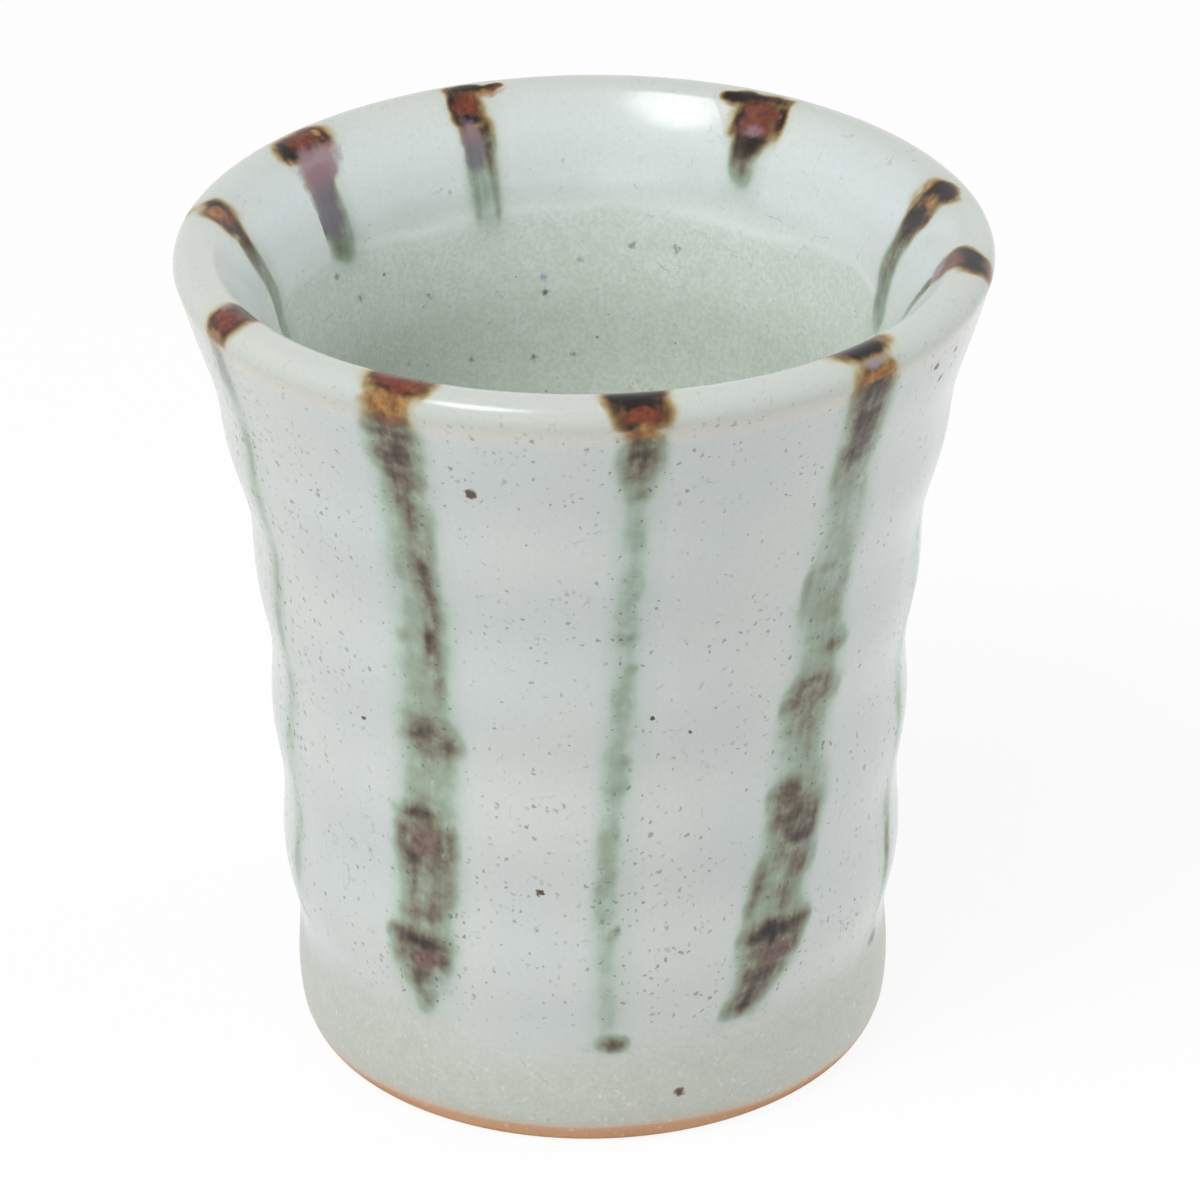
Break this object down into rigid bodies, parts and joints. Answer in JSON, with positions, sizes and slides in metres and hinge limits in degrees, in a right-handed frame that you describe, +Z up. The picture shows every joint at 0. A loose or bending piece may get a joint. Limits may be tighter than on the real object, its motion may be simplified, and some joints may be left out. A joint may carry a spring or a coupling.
{
  "type": "tea cup",
  "caption": "Tall handleless stoneware tea cup with a flared rounded lip, soft throwing rings, a pale grey-green glaze, brushed iron stripes over the lip and a bare clay foot.",
  "frame": {"origin": "centre of the circle that the foot stands on, at table height", "axes": "+Z up along the cup's axis, -Y the side that faces the picture's camera"},
  "size_m": [0.084, 0.084, 0.0908],
  "materials": {
    "stoneware": "bare toasted clay, matte",
    "thin_glaze": "thin greenish-grey glaze, satin",
    "thick_glaze": "thick bluish-white glaze, gloss",
    "iron_pigment": "iron brown fired into the glaze, gloss"
  },
  "bodies": {
    "root": {"clay_body": "stoneware", "base_glaze": "thin_glaze", "dip_glaze": "thick_glaze", "iron_stroke_01": "iron_pigment", "iron_stroke_02": "iron_pigment", "iron_stroke_03": "iron_pigment", "iron_stroke_04": "iron_pigment", "iron_stroke_05": "iron_pigment", "iron_stroke_06": "iron_pigment", "iron_stroke_07": "iron_pigment", "iron_stroke_08": "iron_pigment", "iron_stroke_09": "iron_pigment", "iron_stroke_10": "iron_pigment"}
  },
  "joints": []
}
